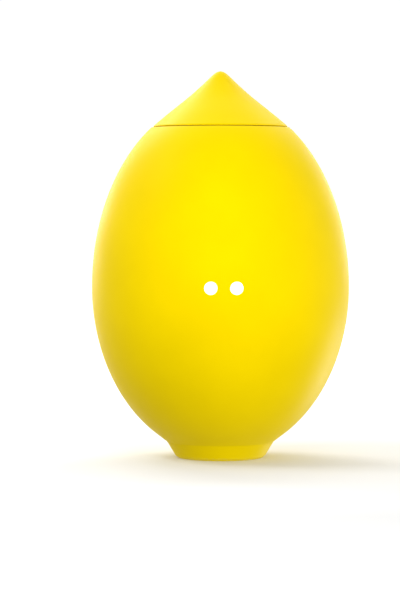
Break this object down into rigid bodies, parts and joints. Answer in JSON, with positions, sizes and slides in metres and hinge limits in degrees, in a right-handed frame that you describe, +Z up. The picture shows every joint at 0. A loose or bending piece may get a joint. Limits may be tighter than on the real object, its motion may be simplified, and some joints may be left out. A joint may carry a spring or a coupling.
{
  "type": "lemon-shaped light-up egg shaker",
  "caption": "Yellow lemon-shaped egg shaker: two-part body on a small foot, screw-off pointed cap, loose steel shot in a chamber, and white light windows that flash when shaken.",
  "frame": {"origin": "middle of the foot's underside, where the shaker stands", "axes": "+Z up through the pointed cap, -Y out of the front, where the two light windows are, +X to the right seen from the front"},
  "size_m": [0.06, 0.06, 0.09],
  "materials": {
    "satin_yellow_plastic": "satin moulded plastic with a soft sheen",
    "opal_white_plastic": "milky white light window",
    "grey_plastic": "moulded grey plastic",
    "black_plastic": "moulded black plastic",
    "green_board": "green solder mask on glass-fibre board",
    "black_rubber": "matt black rubber",
    "bright_steel": "bright plated steel",
    "brass": "stamped brass",
    "cell_steel": "drawn nickel-plated can",
    "lamp_resin": "clear lamp resin",
    "red_insulation": "red wire insulation",
    "black_insulation": "black wire insulation"
  },
  "bodies": {
    "shaker_body": {"front_shell": "satin_yellow_plastic", "rear_shell": "satin_yellow_plastic", "window_left": "opal_white_plastic", "window_right": "opal_white_plastic", "neck_ring": "grey_plastic", "chamber_floor": "grey_plastic", "battery_holder": "black_plastic", "controller_chip": "black_plastic", "switch_base": "black_plastic", "circuit_board": "green_board", "shell_screw_upper_left": "bright_steel", "shell_screw_upper_right": "bright_steel", "shell_screw_lower_left": "bright_steel", "shell_screw_lower_right": "bright_steel", "board_screw_left": "bright_steel", "board_screw_right": "bright_steel", "contact_spring": "bright_steel", "switch_pin": "brass", "side_contact": "brass", "capacitor": "cell_steel", "button_cell_1": "cell_steel", "button_cell_2": "cell_steel", "button_cell_3": "cell_steel", "lamp_left": "lamp_resin", "lamp_right": "lamp_resin", "wire_positive": "red_insulation", "wire_negative": "black_insulation"},
    "cap_gasket": {"cap_gasket": "black_rubber"},
    "cap": {"cap": "satin_yellow_plastic", "cap_disc": "satin_yellow_plastic"},
    "battery_door": {"battery_door": "satin_yellow_plastic", "door_gasket": "black_rubber", "door_contact": "brass"},
    "switch_spring": {"switch_spring": "bright_steel"},
    "shot_01": {"shot_01": "bright_steel"},
    "shot_02": {"shot_02": "bright_steel"},
    "shot_03": {"shot_03": "bright_steel"},
    "shot_04": {"shot_04": "bright_steel"},
    "shot_05": {"shot_05": "bright_steel"},
    "shot_06": {"shot_06": "bright_steel"},
    "shot_07": {"shot_07": "bright_steel"},
    "shot_08": {"shot_08": "bright_steel"},
    "shot_09": {"shot_09": "bright_steel"},
    "shot_10": {"shot_10": "bright_steel"},
    "shot_11": {"shot_11": "bright_steel"},
    "shot_12": {"shot_12": "bright_steel"},
    "shot_13": {"shot_13": "bright_steel"},
    "shot_14": {"shot_14": "bright_steel"},
    "shot_15": {"shot_15": "bright_steel"},
    "shot_16": {"shot_16": "bright_steel"},
    "shot_17": {"shot_17": "bright_steel"},
    "shot_18": {"shot_18": "bright_steel"},
    "shot_19": {"shot_19": "bright_steel"}
  },
  "joints": [
    {"name": "cap_twist", "type": "hinge", "parent": "cap_gasket", "child": "cap", "pos_m": [0, 0, 0.0773], "axis": [0, 0, 1], "range_deg": [0, 721]},
    {"name": "cap_rise", "type": "slide", "parent": "shaker_body", "child": "cap_gasket", "axis": [0, 0, 1], "range_m": [0, 0.024]},
    {"name": "battery_door_turn", "type": "hinge", "parent": "shaker_body", "child": "battery_door", "pos_m": [0, 0, 0.0004], "axis": [0, 0, -1], "range_deg": [0, 60]},
    {"name": "switch_sway", "type": "hinge", "parent": "shaker_body", "child": "switch_spring", "pos_m": [0, -0.016, 0.03375], "axis": [1, 0, 0], "range_deg": [-4, 4], "stiffness_Nm_per_rad": 0.0002},
    {"name": "shot_01_hop", "type": "slide", "parent": "shaker_body", "child": "shot_01", "axis": [0, 0, 1], "range_m": [0, 0.0155]},
    {"name": "shot_02_hop", "type": "slide", "parent": "shaker_body", "child": "shot_02", "axis": [0, 0, 1], "range_m": [0, 0.0155]},
    {"name": "shot_03_hop", "type": "slide", "parent": "shaker_body", "child": "shot_03", "axis": [0, 0, 1], "range_m": [0, 0.0155]},
    {"name": "shot_04_hop", "type": "slide", "parent": "shaker_body", "child": "shot_04", "axis": [0, 0, 1], "range_m": [0, 0.0155]},
    {"name": "shot_05_hop", "type": "slide", "parent": "shaker_body", "child": "shot_05", "axis": [0, 0, 1], "range_m": [0, 0.0155]},
    {"name": "shot_06_hop", "type": "slide", "parent": "shaker_body", "child": "shot_06", "axis": [0, 0, 1], "range_m": [0, 0.0155]},
    {"name": "shot_07_hop", "type": "slide", "parent": "shaker_body", "child": "shot_07", "axis": [0, 0, 1], "range_m": [0, 0.0155]},
    {"name": "shot_08_hop", "type": "slide", "parent": "shaker_body", "child": "shot_08", "axis": [0, 0, 1], "range_m": [0, 0.0125]},
    {"name": "shot_09_hop", "type": "slide", "parent": "shaker_body", "child": "shot_09", "axis": [0, 0, 1], "range_m": [0, 0.0125]},
    {"name": "shot_10_hop", "type": "slide", "parent": "shaker_body", "child": "shot_10", "axis": [0, 0, 1], "range_m": [0, 0.0125]},
    {"name": "shot_11_hop", "type": "slide", "parent": "shaker_body", "child": "shot_11", "axis": [0, 0, 1], "range_m": [0, 0.0125]},
    {"name": "shot_12_hop", "type": "slide", "parent": "shaker_body", "child": "shot_12", "axis": [0, 0, 1], "range_m": [0, 0.0125]},
    {"name": "shot_13_hop", "type": "slide", "parent": "shaker_body", "child": "shot_13", "axis": [0, 0, 1], "range_m": [0, 0.0125]},
    {"name": "shot_14_hop", "type": "slide", "parent": "shaker_body", "child": "shot_14", "axis": [0, 0, 1], "range_m": [0, 0.0125]},
    {"name": "shot_15_hop", "type": "slide", "parent": "shaker_body", "child": "shot_15", "axis": [0, 0, 1], "range_m": [0, 0.0125]},
    {"name": "shot_16_hop", "type": "slide", "parent": "shaker_body", "child": "shot_16", "axis": [0, 0, 1], "range_m": [0, 0.0125]},
    {"name": "shot_17_hop", "type": "slide", "parent": "shaker_body", "child": "shot_17", "axis": [0, 0, 1], "range_m": [0, 0.0125]},
    {"name": "shot_18_hop", "type": "slide", "parent": "shaker_body", "child": "shot_18", "axis": [0, 0, 1], "range_m": [0, 0.0125]},
    {"name": "shot_19_hop", "type": "slide", "parent": "shaker_body", "child": "shot_19", "axis": [0, 0, 1], "range_m": [0, 0.0125]}
  ],
  "couplings": [
    {"joint": "cap_twist", "follows": "cap_rise", "rad_per_m": 523.6}
  ]
}
